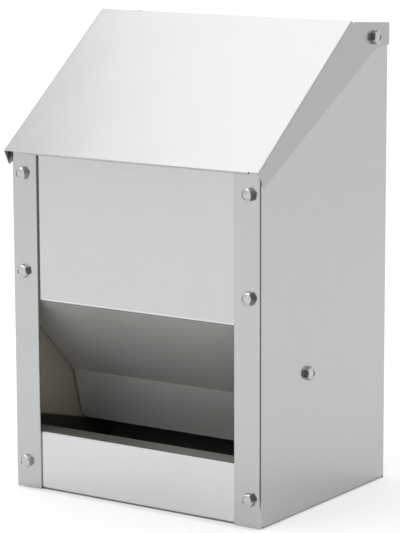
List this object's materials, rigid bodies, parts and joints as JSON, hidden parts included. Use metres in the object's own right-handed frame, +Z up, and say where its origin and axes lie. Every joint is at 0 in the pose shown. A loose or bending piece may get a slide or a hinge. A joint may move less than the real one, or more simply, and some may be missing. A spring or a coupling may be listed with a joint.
{
  "type": "automatic poultry feeder",
  "caption": "Free-standing poultry feeder of folded galvanised sheet: a hopper with a sloping hinged lid, a chute behind the front panel and a low lipped trough.",
  "frame": {"origin": "middle of the overall box, on the ground the feeder stands on", "axes": "+X across the feeder to its right seen from the front, +Y from the front to the back, +Z up"},
  "size_m": [0.2546, 0.2016, 0.3852],
  "materials": {
    "galvanised_sheet": "smooth zinc coating, satin, without visible spangle",
    "zinc_fastener": "bright zinc plating"
  },
  "bodies": {
    "feeder_body": {"side_panel_left": "galvanised_sheet", "side_panel_right": "galvanised_sheet", "back_panel": "galvanised_sheet", "hopper_front": "galvanised_sheet", "feed_trough": "galvanised_sheet", "front_bolts_left": "zinc_fastener", "front_nuts_left": "zinc_fastener", "rear_bolts_left": "zinc_fastener", "rear_nuts_left": "zinc_fastener", "chute_bolt_left": "zinc_fastener", "chute_nut_left": "zinc_fastener", "pivot_bolt_left": "zinc_fastener", "pivot_washer_left": "zinc_fastener", "pivot_locknut_left": "zinc_fastener", "front_bolts_right": "zinc_fastener", "front_nuts_right": "zinc_fastener", "rear_bolts_right": "zinc_fastener", "rear_nuts_right": "zinc_fastener", "chute_bolt_right": "zinc_fastener", "chute_nut_right": "zinc_fastener", "pivot_bolt_right": "zinc_fastener", "pivot_washer_right": "zinc_fastener", "pivot_locknut_right": "zinc_fastener"},
    "lid": {"lid": "galvanised_sheet"}
  },
  "joints": [
    {"name": "lid_hinge", "type": "hinge", "parent": "feeder_body", "child": "lid", "pos_m": [0, 0.06927, 0.36961], "axis": [-1, 0, 0], "range_deg": [0, 189]}
  ]
}
